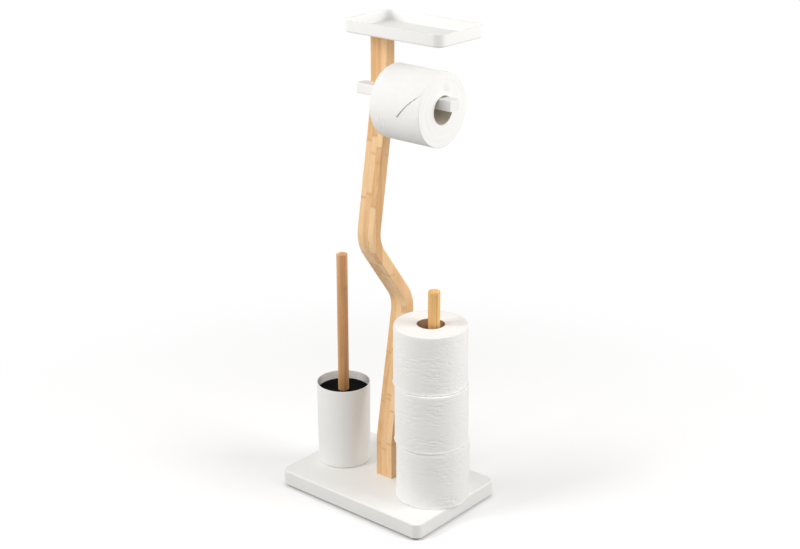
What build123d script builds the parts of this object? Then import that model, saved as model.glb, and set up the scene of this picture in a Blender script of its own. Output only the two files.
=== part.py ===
from build123d import *
import math
import os

# A free-standing stand that holds toilet rolls and a toilet brush, with a small tray on top.
# Millimetres, +Z up, +X along the base towards the spare rolls, -Y towards the person.
# The pieces are drawn about the middle of the base and moved at the end, so that the origin
# is on the floor at the middle of the whole outline.

# Base: a pressed steel cover over a board and a ballast plate
base_length = 292.0
base_width = 200.0
base_corner = 13.0
base_edge = 2.5  # rounding of the top edge
base_sheet = 1.5
base_lift = 4.5  # the cover's sides end this far above the floor
board_thickness = 15.0
board_gap = 0.6  # all round, inside the cover
ballast_thickness = 5.0
ballast_margin = 1.5  # the ballast plate is this much smaller than the board, all round
ballast_reach = 3.0  # radial, room for a spanner around a washer

# Feet and their screws
foot_diameter = 21.0
foot_height = 7.0
foot_margin = 4.0  # from the side of the base to the nearest point of a foot
foot_edge = 1.2
foot_screw_diameter = 4.0
foot_screw_head = 8.0
foot_screw_head_height = 2.4
foot_screw_recess = 0.8  # the head stays this far above the floor
foot_screw_bite = 9.0  # length in the board

# Bolts, washers and threaded inserts, all of one thread
bolt_diameter = 5.0
bolt_head_diameter = 8.5
bolt_head_height = 5.0
bolt_key = 4.0  # across the flats of the hexagon socket
bolt_key_depth = 2.5
washer_diameter = 12.0
washer_thickness = 1.0
insert_diameter = 8.0
insert_length = 16.0
insert_groove = 0.4
thread_bite = 13.0  # length of a bolt in its insert
sink_recess = 0.5  # a head or an insert lies this far below its surface
sink_margin = 1.0  # radial, between a head or a washer and the wall of its counterbore
hole_clearance = 0.3  # radial, bolt or screw in a plain hole
thread_fit = 0.05  # radial, bolt in a thread, and insert in its hole
blind_end = 3.0  # a blind hole goes this much deeper than what it takes

# Upright: laminated bamboo, bent in the YZ plane. Rises are above the base.
upright_width = 32.0
upright_thickness = 18.0
upright_edge = 1.0
upright_rise = 739.0
foot_bend_rise = 66.5
low_bend_rise = 299.8
low_bend_back = 40.4  # the lower strong bend lies this far behind the foot
bend_spacing = 115.0  # height between the two strong bends
high_bend_front = 44.7  # the upper strong bend lies this far in front of the foot
top_front = 8.5  # and the top end this far
bend_under_arm = 10.0  # from the arm's underside down to the slight bend below it
bend_radius = 55.0  # middle of the strip, at the two strong bends
ease_radius = 100.0  # at the slight bends by the foot and the arm
upright_bolt_spacing = 16.0

# Tray
tray_length = 184.5
tray_width = 106.0
tray_height = 18.5
tray_wall = 2.0
tray_corner = 14.0
tray_edge = 3.0  # rounding between the floor and the sides
tray_rim = 0.6
tray_tail = 33.8  # reach to the left of the upright's middle
tray_screw_head = 10.0
tray_screw_length = 16.0
tray_screw_key = 3.0
tray_screw_key_depth = 1.2

# Holder arm: a rectangular tube across the front of the upright
arm_length = 177.0
arm_depth = 21.0
arm_height = 16.0
arm_wall = 1.5
arm_corner = 1.8
arm_tail = 9.0  # reach past the left side of the upright
arm_drop = 86.5  # from the upright's top end down to the middle of the arm
arm_bolt_spacing = 16.0
cap_thickness = 1.8
cap_plug = 6.0
cap_wall = 1.5
cap_fit = 0.15
nut_plate_end = 6.0  # past the middle of a bolt
nut_plate_thickness = 4.0
nut_plate_gap = 0.6
nut_bolt_end = 1.0  # length of a bolt past the nut plate

# Toilet rolls
roll_diameter = 118.0
roll_width = 97.0
roll_edge = 1.5
hanging_roll_diameter = 112.0  # a little of its paper is used
hanging_roll_width = 92.0
core_bore = 42.0
core_wall = 0.8
core_fit = 0.02  # radial, between a core and the paper wound on it
hanging_roll_gap = 23.0  # between the upright and the roll on the arm
hanging_roll_play = 0.3  # between the arm's upper corners and the core
roll_shift = [(0.0, 0.0), (-2.0, -1.5), (-6.5, 0.3)]  # how untidily the spare rolls are stacked

# Rod for the spare rolls
rod_diameter = 19.0
rod_rise = 347.5
rod_edge = 2.2
rod_inset = 51.0  # centre of the rod from the right side of the base

# Brush cup and its liner
cup_inset = 51.0  # centre of the cup from the left side of the base
cup_height = 140.0
cup_top_diameter = 88.0
cup_foot_diameter = 86.0
cup_wall = 1.2
cup_edge = 3.0
cup_rim = 0.45
liner_wall = 1.5
liner_floor = 2.0
liner_edge = 4.0
liner_gap = 0.4  # radial, the liner's lip in the cup
liner_lip = 2.2  # the lip reaches this far out of the liner's wall
liner_lip_thickness = 1.6
liner_draft = 1.2  # the liner's foot is this much smaller in radius than its mouth

# Brush
disc_drop = 13.8  # top of the disc below the cup's rim
disc_thickness = 3.0
disc_edge = 0.75
disc_gap = 0.6  # radial, disc in the cup
disc_skirt = 4.0  # depth of the ring under the disc
disc_skirt_wall = 1.5
disc_skirt_gap = 0.8  # radial, ring in the liner's mouth
handle_diameter = 18.0
handle_length = 237.0
handle_edge = 1.0
stud_diameter = 6.0
stud_in_handle = 26.0
stud_in_core = 22.0
core_flange_diameter = 30.0
core_flange_thickness = 3.0
neck_diameter = 16.0
neck_length = 28.0
neck_ribs = 6
neck_rib_thickness = 1.6
barrel_diameter = 26.0
barrel_end_share = 0.9  # of the barrel's radius is rounded off at its lower end
bristle_rows = 8
bristle_gap = 2.0  # radial, between the tufts and the foot of the liner
bristle_lift = 15.0  # the tufts hang this far above the liner's floor
bristle_end = 12.0  # and reach this far below the barrel
bristle_notch = 7.0  # depth of the grooves between the rows
bristle_high_cut = 0.12  # the uppermost row is shorter by this share
bristle_low_cut = 0.3  # and the lowest one by this share

smallest_round = 0.3  # an inner rounding is never sharper than this

# Places that follow from the sizes above
ballast_bottom = foot_height
board_bottom = ballast_bottom + ballast_thickness
board_top = board_bottom + board_thickness
base_top = board_top + base_sheet
sink_depth = sink_recess + bolt_head_height + washer_thickness
foot_inset = foot_margin + foot_diameter / 2
rod_x = base_length / 2 - rod_inset
cup_x = cup_inset - base_length / 2
upright_top = base_top + upright_rise
top_y = -top_front
arm_front = top_y - upright_thickness / 2 - arm_depth
arm_y = arm_front + arm_depth / 2
arm_z = upright_top - arm_drop
arm_left = -upright_width / 2 - arm_tail
arm_right = arm_left + arm_length
tray_x = tray_length / 2 - tray_tail
tray_floor = upright_top + tray_wall
tray_top = upright_top + tray_height
hanging_roll_left = upright_width / 2 + hanging_roll_gap
corner_reach = core_bore / 2 - hanging_roll_play - arm_corner  # from the roll's axis to a corner's centre
corner_rise = math.sqrt(corner_reach**2 - (arm_depth / 2 - arm_corner) ** 2)
hanging_axis_z = arm_z + arm_height / 2 - arm_corner - corner_rise
cup_top = base_top + cup_height
disc_top = cup_top - disc_drop
liner_top = disc_top - disc_thickness
liner_bottom = base_top + cup_wall
flange_bottom = liner_top - core_flange_thickness
barrel_top = flange_bottom - neck_length
bristle_bottom = liner_bottom + liner_floor + bristle_lift
barrel_bottom = bristle_bottom + bristle_end
base_bolt_places = [(-upright_bolt_spacing / 2, 0.0), (upright_bolt_spacing / 2, 0.0), (rod_x, 0.0)]
tray_screw_places = [(-upright_bolt_spacing / 2, top_y), (upright_bolt_spacing / 2, top_y)]
arm_bolt_places = [-arm_bolt_spacing / 2, arm_bolt_spacing / 2]
foot_places = {
    "front_left": (foot_inset - base_length / 2, foot_inset - base_width / 2),
    "front_right": (base_length / 2 - foot_inset, foot_inset - base_width / 2),
    "back_left": (foot_inset - base_length / 2, base_width / 2 - foot_inset),
    "back_right": (base_length / 2 - foot_inset, base_width / 2 - foot_inset),
}
spare_roll_reach = rod_x + max(dx for dx, dy in roll_shift) + roll_diameter / 2
reach_right = max(base_length / 2, spare_roll_reach, tray_x + tray_length / 2, arm_right)
reach_left = max(base_length / 2, cup_top_diameter / 2 - cup_x)
middle_x = (reach_right - reach_left) / 2


def post(x, y, bottom, top, diameter):
    """An upright cylinder, as a solid or as a hole to cut."""
    stand_up = (Align.CENTER, Align.CENTER, Align.MIN)
    return Pos(x, y, bottom) * Cylinder(diameter / 2, top - bottom, align=stand_up)


def rounded_block(length, width, corner, bottom, top):
    """A block with rounded upright edges."""
    return Pos(0, 0, bottom) * extrude(RectangleRounded(length, width, corner), top - bottom)


def turned(points):
    """A solid turned about the Z axis from (radius, height) points."""
    outline = make_face(Polyline(*[(r, 0, z) for r, z in points], close=True))
    return revolve(outline, Axis.Z)


def round_end(shape, radius, end):
    """Round the edges of the lowest (0) or highest (-1) face."""
    return fillet(shape.faces().sort_by(Axis.Z)[end].edges(), radius)


def bevel_end(shape, width, end):
    """Bevel the edges of the lowest (0) or highest (-1) face."""
    return chamfer(shape.faces().sort_by(Axis.Z)[end].edges(), width)


def inner_round(outer_round, wall):
    """Rounding inside a wall that follows the rounding outside."""
    return max(outer_round - wall, smallest_round)


# Base


def make_base_cover():
    """Pressed pan: flat top, four sides and rounded edges, open below."""
    cover = round_end(rounded_block(base_length, base_width, base_corner, base_lift, base_top), base_edge, -1)
    length = base_length - 2 * base_sheet
    width = base_width - 2 * base_sheet
    hollow = rounded_block(length, width, inner_round(base_corner, base_sheet), base_lift, board_top)
    cover -= round_end(hollow, inner_round(base_edge, base_sheet), -1)
    for x, y in base_bolt_places:
        cover -= post(x, y, board_top, base_top, bolt_diameter + 2 * hole_clearance)
    return cover


def plate_in_cover(margin, bottom, top):
    """A plate that stands clear of the cover's sides all round."""
    inset = base_sheet + margin
    corner = inner_round(base_corner, inset)
    return rounded_block(base_length - 2 * inset, base_width - 2 * inset, corner, bottom, top)


def make_base_board():
    """Board that fills the cover and takes the bolt heads and the foot screws."""
    board = plate_in_cover(board_gap, board_bottom, board_top)
    board = bevel_end(board, inner_round(base_edge, base_sheet) + board_gap, -1)
    for x, y in base_bolt_places:
        board -= post(x, y, board_bottom, board_top, bolt_diameter + 2 * hole_clearance)
        board -= post(x, y, board_bottom, board_bottom + sink_depth, washer_diameter + 2 * sink_margin)
    pilot_top = board_bottom + foot_screw_bite + blind_end
    for x, y in foot_places.values():
        board -= post(x, y, board_bottom, pilot_top, foot_screw_diameter + 2 * thread_fit)
    return board


def make_ballast_plate():
    """Steel plate under the board, with openings that reach the bolt heads."""
    plate = plate_in_cover(board_gap + ballast_margin, ballast_bottom, board_bottom)
    for x, y in base_bolt_places:
        plate -= post(x, y, ballast_bottom, board_bottom, washer_diameter + 2 * ballast_reach)
    for x, y in foot_places.values():
        plate -= post(x, y, ballast_bottom, board_bottom, foot_screw_diameter + 2 * hole_clearance)
    return plate


def make_foot(x, y):
    """Rubber foot with a sunk hole for its screw."""
    foot = bevel_end(post(x, y, 0, foot_height, foot_diameter), foot_edge, 0)
    foot -= post(x, y, 0, foot_height, foot_screw_diameter + 2 * hole_clearance)
    return foot - post(x, y, 0, foot_screw_recess + foot_screw_head_height, foot_screw_head + 2 * sink_margin)


def make_foot_screws():
    """Pan-head screws through the feet and the ballast plate into the board."""
    seat = foot_screw_recess + foot_screw_head_height
    screws = []
    for x, y in foot_places.values():
        head = post(x, y, foot_screw_recess, seat, foot_screw_head)
        head = bevel_end(head, foot_screw_head_height / 3, 0)
        screws.append(head + post(x, y, seat, board_bottom + foot_screw_bite, foot_screw_diameter))
    return Compound(screws)


def key_hole(across_flats, depth):
    """Hexagon socket, up from the origin or down where the depth is negative."""
    return extrude(RegularPolygon(across_flats / 2, 6, major_radius=False), depth)


def cap_bolt(length):
    """Socket-head bolt that points up, with the underside of its head at the origin."""
    head = post(0, 0, -bolt_head_height, 0, bolt_head_diameter)
    head -= Pos(0, 0, -bolt_head_height) * key_hole(bolt_key, bolt_key_depth)
    return head + bevel_end(post(0, 0, 0, length, bolt_diameter), bolt_diameter / 8, -1)


def make_base_bolts():
    """Bolts from below, through the board and the cover, into the upright and the rod."""
    washer_bottom = board_bottom + sink_depth - washer_thickness
    length = base_top + sink_recess + thread_bite - washer_bottom
    return Compound([Pos(x, y, washer_bottom) * cap_bolt(length) for x, y in base_bolt_places])


def make_base_washers():
    """Washers between the bolt heads and the board."""
    top = board_bottom + sink_depth
    bottom = top - washer_thickness
    washers = []
    for x, y in base_bolt_places:
        washer = post(x, y, bottom, top, washer_diameter)
        washers.append(washer - post(x, y, bottom, top, bolt_diameter + 2 * hole_clearance))
    return Compound(washers)


def threaded_insert():
    """Brass bush that starts at the origin and runs up, waisted between its two grips."""
    bush = post(0, 0, 0, insert_length, insert_diameter)
    bush -= post(0, 0, insert_length / 3, insert_length * 2 / 3, insert_diameter)
    bush += post(0, 0, insert_length / 3, insert_length * 2 / 3, insert_diameter - 2 * insert_groove)
    return bush - post(0, 0, 0, insert_length, bolt_diameter + 2 * thread_fit)


def make_threaded_inserts():
    """Inserts in both ends of the upright and in the foot of the rod."""
    low = [Pos(x, y, base_top + sink_recess) * threaded_insert() for x, y in base_bolt_places]
    high_z = upright_top - sink_recess - insert_length
    return Compound(low + [Pos(x, y, high_z) * threaded_insert() for x, y in tray_screw_places])


# Upright


def insert_hole(x, y, end, way):
    """Blind hole for an insert, up (1) or down (-1) from an end face."""
    far = end + way * (sink_recess + insert_length + blind_end)
    return post(x, y, min(end, far), max(end, far), insert_diameter + 2 * thread_fit)


def make_upright():
    """One strip of laminated bamboo along a path of straight runs and tangent bends."""
    corners = [
        (0, 0, base_top),
        (0, 0, base_top + foot_bend_rise),
        (0, low_bend_back, base_top + low_bend_rise),
        (0, -high_bend_front, base_top + low_bend_rise + bend_spacing),
        (0, top_y, arm_z - arm_height / 2 - bend_under_arm),
        (0, top_y, upright_top),
    ]
    path = FilletPolyline(*corners, radius=[ease_radius, bend_radius, bend_radius, ease_radius])
    section = Pos(0, 0, base_top) * RectangleRounded(upright_width, upright_thickness, upright_edge)
    strip = sweep(section, path=path)
    for x, y in base_bolt_places[:2]:
        strip -= insert_hole(x, y, base_top, 1)
    for x, y in tray_screw_places:
        strip -= insert_hole(x, y, upright_top, -1)
    for x in arm_bolt_places:
        hole = post(0, 0, 0, upright_thickness, bolt_diameter + 2 * hole_clearance)
        hole += post(0, 0, 0, bolt_head_height + sink_recess, bolt_head_diameter + 2 * sink_margin)
        strip -= Pos(x, top_y + upright_thickness / 2, arm_z) * Rot(90, 0, 0) * hole
    return strip


# Tray


def make_tray():
    """Shallow pan with rounded corners, a rounded foot edge and an eased rim."""
    tray = round_end(rounded_block(tray_length, tray_width, tray_corner, upright_top, tray_top), tray_edge, 0)
    length = tray_length - 2 * tray_wall
    width = tray_width - 2 * tray_wall
    hollow = rounded_block(length, width, inner_round(tray_corner, tray_wall), tray_floor, tray_top)
    tray -= round_end(hollow, inner_round(tray_edge, tray_wall), 0)
    tray = Pos(tray_x, top_y, 0) * round_end(tray, min(tray_rim, tray_wall * 0.4), -1)
    for x, y in tray_screw_places:
        tray -= Pos(x, y, 0) * tray_screw_shape(hole_clearance)
    return tray


def tray_screw_shape(clearance):
    """Countersunk screw, or its hole: the head's cone is as deep as the tray's floor is thick."""
    head = tray_screw_head / 2
    shank = bolt_diameter / 2 + clearance
    cone = tray_wall * (head - shank) / (head - bolt_diameter / 2)
    end = tray_floor - tray_screw_length
    return turned([(0, tray_floor), (head, tray_floor), (shank, tray_floor - cone), (shank, end), (0, end)])


def make_tray_screws():
    """Countersunk screws down into the top of the upright."""
    screw = tray_screw_shape(0) - Pos(0, 0, tray_floor) * key_hole(tray_screw_key, -tray_screw_key_depth)
    return Compound([Pos(x, y, 0) * screw for x, y in tray_screw_places])


# Holder arm


def arm_bar(inset, corner, end_a, end_b):
    """Rounded bar along X between two ends, this far inside the arm's outline."""
    section = Plane.YZ * RectangleRounded(arm_depth - 2 * inset, arm_height - 2 * inset, corner)
    return Pos(min(end_a, end_b), arm_y, arm_z) * extrude(section, abs(end_b - end_a))


def bolt_hole(length, clearance):
    """Hole along -Y from the origin."""
    return Rot(90, 0, 0) * post(0, 0, 0, length, bolt_diameter + 2 * clearance)


def make_holder_arm():
    """Rectangular tube, drilled at the back for its two bolts."""
    left = arm_left + cap_thickness
    right = arm_right - cap_thickness
    tube = arm_bar(0, arm_corner, left, right)
    tube -= arm_bar(arm_wall, inner_round(arm_corner, arm_wall), left, right)
    for x in arm_bolt_places:
        tube -= Pos(x, arm_front + arm_depth, arm_z) * bolt_hole(2 * arm_wall, hole_clearance)
    return tube


def make_arm_cap(end, way):
    """Moulded end cap at the left (-1) or right (1) end: a face and a hollow plug behind it."""
    tube_end = end - way * cap_thickness
    plug_end = tube_end - way * cap_plug
    face = arm_bar(0, arm_corner, end, tube_end)
    outer = face.faces().sort_by(Axis.X)[-1 if way > 0 else 0]
    face = chamfer(outer.edges(), cap_thickness / 3)
    plug_inset = arm_wall + cap_fit
    plug = arm_bar(plug_inset, arm_corner / 2, tube_end, plug_end)
    return face + (plug - arm_bar(plug_inset + cap_wall, arm_corner / 2, tube_end, plug_end))


def make_arm_nut_plate():
    """Tapped strip inside the tube, drawn against its back wall."""
    length = arm_bolt_spacing + 2 * nut_plate_end
    height = arm_height - 2 * arm_wall - 2 * nut_plate_gap
    plate = Box(length, nut_plate_thickness, height, align=(Align.CENTER, Align.MAX, Align.CENTER))
    plate = chamfer(plate.edges().filter_by(Axis.Y), nut_plate_gap)
    for x in arm_bolt_places:
        plate -= Pos(x, 0, 0) * bolt_hole(nut_plate_thickness, thread_fit)
    return Pos(0, arm_front + arm_depth - arm_wall, arm_z) * plate


def make_arm_bolts():
    """Bolts from behind, through the upright, into the tapped strip."""
    seat = top_y + upright_thickness / 2 - bolt_head_height - sink_recess
    tip = arm_front + arm_depth - arm_wall - nut_plate_thickness - nut_bolt_end
    bolt = Rot(90, 0, 0) * cap_bolt(seat - tip)
    return Compound([Pos(x, seat, arm_z) * bolt for x in arm_bolt_places])


# Rod and toilet rolls


def make_spare_roll_rod():
    """Bamboo dowel that the spare rolls are put over."""
    rod = round_end(post(rod_x, 0, base_top, base_top + rod_rise, rod_diameter), rod_edge, -1)
    return rod - insert_hole(rod_x, 0, base_top, 1)


def roll_core(width):
    """Cardboard tube that starts at the origin and runs up."""
    return post(0, 0, 0, width, core_bore + 2 * core_wall) - post(0, 0, 0, width, core_bore)


def roll_paper(diameter, width):
    """Paper wound on a core, with softened outer edges."""
    paper = post(0, 0, 0, width, diameter)
    paper = fillet(paper.edges().filter_by(GeomType.CIRCLE), roll_edge)
    return paper - post(0, 0, 0, width, core_bore + 2 * core_wall + 2 * core_fit)


def spare_roll_place(level):
    """Where the foot of a spare roll stands, counted from the base."""
    dx, dy = roll_shift[level]
    return Pos(rod_x + dx, dy, base_top + level * roll_width)


def hanging_roll_place():
    """The roll on the arm lies along X and hangs from the arm's upper corners."""
    return Pos(hanging_roll_left, arm_y, hanging_axis_z) * Rot(0, 90, 0)


# Brush cup and liner


def cup_inside(z):
    """Radius of the cup's inner wall at a height above the floor."""
    flare = (cup_top_diameter - cup_foot_diameter) / 2 / cup_height
    return cup_foot_diameter / 2 + flare * (z - base_top) - cup_wall


def make_brush_cup():
    """Slightly tapered thin-walled cup with a rounded foot and an eased rim."""
    foot = cup_foot_diameter / 2
    outside = turned([(0, base_top), (foot, base_top), (cup_top_diameter / 2, cup_top), (0, cup_top)])
    floor = liner_bottom
    inside = turned([(0, floor), (cup_inside(floor), floor), (cup_inside(cup_top), cup_top), (0, cup_top)])
    cup = round_end(outside, cup_edge, 0) - round_end(inside, inner_round(cup_edge, cup_wall), 0)
    return Pos(cup_x, 0, 0) * round_end(cup, min(cup_rim, cup_wall * 0.4), -1)


def liner_mouth():
    """Outer radius of the liner's wall below its lip."""
    return cup_inside(liner_top) - liner_gap - liner_lip


def make_cup_liner():
    """Moulded inner cup that lifts out, with a lip around its mouth."""
    mouth = liner_mouth()
    foot = mouth - liner_draft
    outside = turned([(0, liner_bottom), (foot, liner_bottom), (mouth, liner_top), (0, liner_top)])
    lip = post(0, 0, liner_top - liner_lip_thickness, liner_top, 2 * (mouth + liner_lip))
    floor = liner_bottom + liner_floor
    inside = turned([(0, floor), (foot - liner_wall, floor), (mouth - liner_wall, liner_top), (0, liner_top)])
    inside = round_end(inside, inner_round(liner_edge, liner_wall), 0)
    return Pos(cup_x, 0, 0) * (round_end(outside, liner_edge, 0) + lip - inside)


# Brush


def make_splash_disc():
    """Disc that closes the liner, with a ring below that centres it in the liner's mouth."""
    disc = post(0, 0, liner_top, disc_top, 2 * (cup_inside(disc_top) - disc_gap))
    disc = round_end(disc, disc_edge, -1)
    skirt = liner_mouth() - liner_wall - disc_skirt_gap
    disc += post(0, 0, liner_top - disc_skirt, liner_top, 2 * skirt)
    disc -= post(0, 0, liner_top - disc_skirt, liner_top, 2 * (skirt - disc_skirt_wall))
    return Pos(cup_x, 0, 0) * (disc - post(0, 0, liner_top, disc_top, stud_diameter + 2 * hole_clearance))


def make_brush_handle():
    """Bamboo dowel with an eased top and a blind hole for the stud."""
    handle = round_end(post(0, 0, disc_top, disc_top + handle_length, handle_diameter), handle_edge, -1)
    hole = post(0, 0, disc_top, disc_top + stud_in_handle + blind_end, stud_diameter + 2 * thread_fit)
    return Pos(cup_x, 0, 0) * (handle - hole)


def make_handle_stud():
    """Threaded stud that draws the handle and the head together on the disc."""
    stud = post(cup_x, 0, liner_top - stud_in_core, disc_top + stud_in_handle, stud_diameter)
    return chamfer(stud.edges().filter_by(GeomType.CIRCLE), stud_diameter / 8)


def neck_rib():
    """Thin web along the neck that spreads out under the flange and above the barrel."""
    neck = neck_diameter / 2
    high = core_flange_diameter / 2 - neck
    low = barrel_diameter / 2 - neck
    outline = Polyline(
        (0, 0, flange_bottom),
        (neck + high, 0, flange_bottom),
        (neck, 0, flange_bottom - high),
        (neck, 0, barrel_top + low),
        (neck + low, 0, barrel_top),
        (0, 0, barrel_top),
        close=True,
    )
    return extrude(make_face(outline), neck_rib_thickness / 2, both=True)


def barrel(extra):
    """Round-ended barrel that holds the tufts, or the hollow for it in the tufts."""
    shape = post(0, 0, barrel_bottom - extra, barrel_top, barrel_diameter + 2 * extra)
    return round_end(shape, barrel_end_share * barrel_diameter / 2, 0)


def make_brush_core():
    """Moulded head: a flange under the disc, a ribbed neck and a barrel with a round end."""
    core = barrel(0) + post(0, 0, barrel_top, flange_bottom, neck_diameter)
    core += post(0, 0, flange_bottom, liner_top, core_flange_diameter)
    for i in range(neck_ribs):
        core += Rot(0, 0, 360 * i / neck_ribs) * neck_rib()
    hole = post(0, 0, liner_top - stud_in_core - blind_end, liner_top, stud_diameter + 2 * thread_fit)
    return Pos(cup_x, 0, 0) * (core - hole)


def make_bristles():
    """The tufts as one solid: rows with grooves between them, shorter at both ends."""
    reach = liner_mouth() - liner_draft - liner_wall - bristle_gap
    pitch = (barrel_top - bristle_bottom) / bristle_rows
    points = [(0, barrel_top)]
    for i in range(bristle_rows):
        top = barrel_top - i * pitch
        share = i / (bristle_rows - 1)
        radius = reach * (1 - bristle_high_cut * (1 - share) ** 4 - bristle_low_cut * share**6)
        points += [(radius - bristle_notch, top), (radius, top - pitch / 4), (radius, top - pitch * 3 / 4)]
    points += [(radius - bristle_notch, bristle_bottom), (0, bristle_bottom)]
    return Pos(cup_x, 0, 0) * (turned(points) - barrel(core_fit))


def make_pieces():
    """Every piece by its name, in the frame of the base."""
    pieces = {
        "base_cover": make_base_cover(),
        "base_board": make_base_board(),
        "ballast_plate": make_ballast_plate(),
        "foot_screws": make_foot_screws(),
        "base_bolts": make_base_bolts(),
        "base_washers": make_base_washers(),
        "threaded_inserts": make_threaded_inserts(),
        "upright": make_upright(),
        "tray": make_tray(),
        "tray_screws": make_tray_screws(),
        "holder_arm": make_holder_arm(),
        "arm_cap_left": make_arm_cap(arm_left, -1),
        "arm_cap_right": make_arm_cap(arm_right, 1),
        "arm_nut_plate": make_arm_nut_plate(),
        "arm_bolts": make_arm_bolts(),
        "spare_roll_rod": make_spare_roll_rod(),
        "hanging_roll_core": hanging_roll_place() * roll_core(hanging_roll_width),
        "hanging_roll_paper": hanging_roll_place() * roll_paper(hanging_roll_diameter, hanging_roll_width),
        "brush_cup": make_brush_cup(),
        "cup_liner": make_cup_liner(),
        "splash_disc": make_splash_disc(),
        "brush_handle": make_brush_handle(),
        "handle_stud": make_handle_stud(),
        "brush_core": make_brush_core(),
        "bristles": make_bristles(),
    }
    for corner, (x, y) in foot_places.items():
        pieces["foot_" + corner] = make_foot(x, y)
    for level, name in enumerate(["bottom", "middle", "top"]):
        pieces["spare_roll_core_" + name] = spare_roll_place(level) * roll_core(roll_width)
        pieces["spare_roll_paper_" + name] = spare_roll_place(level) * roll_paper(roll_diameter, roll_width)
    return pieces


os.makedirs("parts", exist_ok=True)
for name, piece in make_pieces().items():
    export_step(Pos(-middle_x, 0, 0) * piece, f"parts/{name}.step")
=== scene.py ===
import math
import bpy
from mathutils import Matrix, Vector, noise


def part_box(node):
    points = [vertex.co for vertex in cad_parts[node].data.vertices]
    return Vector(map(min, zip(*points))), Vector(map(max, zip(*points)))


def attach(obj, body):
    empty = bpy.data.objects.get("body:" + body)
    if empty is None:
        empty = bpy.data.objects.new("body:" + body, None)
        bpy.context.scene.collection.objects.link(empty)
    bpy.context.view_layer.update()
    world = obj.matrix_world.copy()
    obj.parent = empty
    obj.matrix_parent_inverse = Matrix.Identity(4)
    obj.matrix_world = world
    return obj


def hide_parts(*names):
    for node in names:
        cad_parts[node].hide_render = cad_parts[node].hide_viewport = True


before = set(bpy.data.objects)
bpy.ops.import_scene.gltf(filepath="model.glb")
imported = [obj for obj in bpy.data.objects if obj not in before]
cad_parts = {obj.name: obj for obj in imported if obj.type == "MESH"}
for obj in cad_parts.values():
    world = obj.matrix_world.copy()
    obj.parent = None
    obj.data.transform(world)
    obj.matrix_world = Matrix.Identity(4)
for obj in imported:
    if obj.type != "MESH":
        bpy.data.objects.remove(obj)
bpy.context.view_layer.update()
print("frame loaded")


# Camera, at the photograph's own viewing angle
photoView = {
    "spot": (1.4496, -1.6925, 1.2266),
    "turn": 40.135,  # degrees round from the front
    "dip": 20.799,  # degrees below the horizon
    "lens": 68.73,
    "sensor": 36.0,
}


def addCamera(view):
    data = bpy.data.cameras.new("photoCamera")
    data.lens = view["lens"]
    data.sensor_width = view["sensor"]
    data.clip_start = 0.05
    data.clip_end = 60
    camera = bpy.data.objects.new("photoCamera", data)
    camera.location = view["spot"]
    camera.rotation_euler = (math.radians(90 - view["dip"]), 0, math.radians(view["turn"]))
    bpy.context.scene.collection.objects.link(camera)
    bpy.context.scene.camera = camera


addCamera(photoView)
bpy.context.scene.view_settings.view_transform = "Standard"
print("camera set")


# Small helpers for node trees
def plug(tree, socket, value):
    if isinstance(value, bpy.types.NodeSocket):
        tree.links.new(value, socket)
    else:
        socket.default_value = value


def addNode(tree, kind, inputs=None, **settings):
    made = tree.nodes.new(kind)
    for name, value in settings.items():
        setattr(made, name, value)
    for name, value in (inputs or {}).items():
        plug(tree, made.inputs[name], value)
    return made


def doMath(tree, operation, *values, clamp=False):
    made = addNode(tree, "ShaderNodeMath", dict(enumerate(values)), operation=operation, use_clamp=clamp)
    return made.outputs[0]


def mapRange(tree, value, fromLow, fromHigh, toLow, toHigh, smooth=False):
    names = ("Value", "From Min", "From Max", "To Min", "To Max")
    made = addNode(tree, "ShaderNodeMapRange", dict(zip(names, (value, fromLow, fromHigh, toLow, toHigh))))
    if smooth:
        made.interpolation_type = "SMOOTHSTEP"
    return made.outputs["Result"]


def mixColour(tree, factor, first, second, blend="MIX"):
    made = addNode(tree, "ShaderNodeMix", data_type="RGBA", blend_type=blend)
    for index, value in ((0, factor), (6, first), (7, second)):
        plug(tree, made.inputs[index], value)
    return made.outputs[2]


def addNoise(tree, vector, scale, detail=2.0, rough=0.5, kind="3D"):
    inputs = {"Scale": scale, "Detail": detail, "Roughness": rough}
    inputs["W" if kind == "1D" else "Vector"] = vector
    return addNode(tree, "ShaderNodeTexNoise", inputs, noise_dimensions=kind).outputs["Fac"]


def vectorMath(tree, operation, first, second):
    made = addNode(tree, "ShaderNodeVectorMath", {0: first}, operation=operation)
    plug(tree, made.inputs["Scale"] if operation == "SCALE" else made.inputs[1], second)
    return made.outputs["Vector"]


def stretched(tree, vector, factors):
    return vectorMath(tree, "MULTIPLY", vector, factors)


def colour(red, green, blue):
    return (red, green, blue, 1.0)


def newGroup(name, inputs, outputs):
    tree = bpy.data.node_groups.new(name, "ShaderNodeTree")
    for label, value in inputs.items():
        kind = {float: "NodeSocketFloat", tuple: "NodeSocketColor"}.get(type(value), "NodeSocketVector")
        socket = tree.interface.new_socket(label, in_out="INPUT", socket_type=kind)
        if value is not None:
            socket.default_value = value
    for label, kind in outputs.items():
        tree.interface.new_socket(label, in_out="OUTPUT", socket_type="NodeSocket" + kind)
    return tree, tree.nodes.new("NodeGroupInput").outputs, tree.nodes.new("NodeGroupOutput").inputs


def placeGroup(tree, group, inputs):
    return addNode(tree, "ShaderNodeGroup", inputs, node_tree=group).outputs


def newMaterial(name):
    material = bpy.data.materials.new(name)
    material.use_nodes = True
    tree = material.node_tree
    tree.nodes.clear()
    shader = tree.nodes.new("ShaderNodeBsdfPrincipled")
    output = tree.nodes.new("ShaderNodeOutputMaterial")
    tree.links.new(shader.outputs["BSDF"], output.inputs["Surface"])
    place = tree.nodes.new("ShaderNodeTexCoord").outputs["Object"]
    return material, tree, shader, place


def feed(tree, shader, **values):
    for name, value in values.items():
        plug(tree, shader.inputs[name.replace("_", " ")], value)


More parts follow.
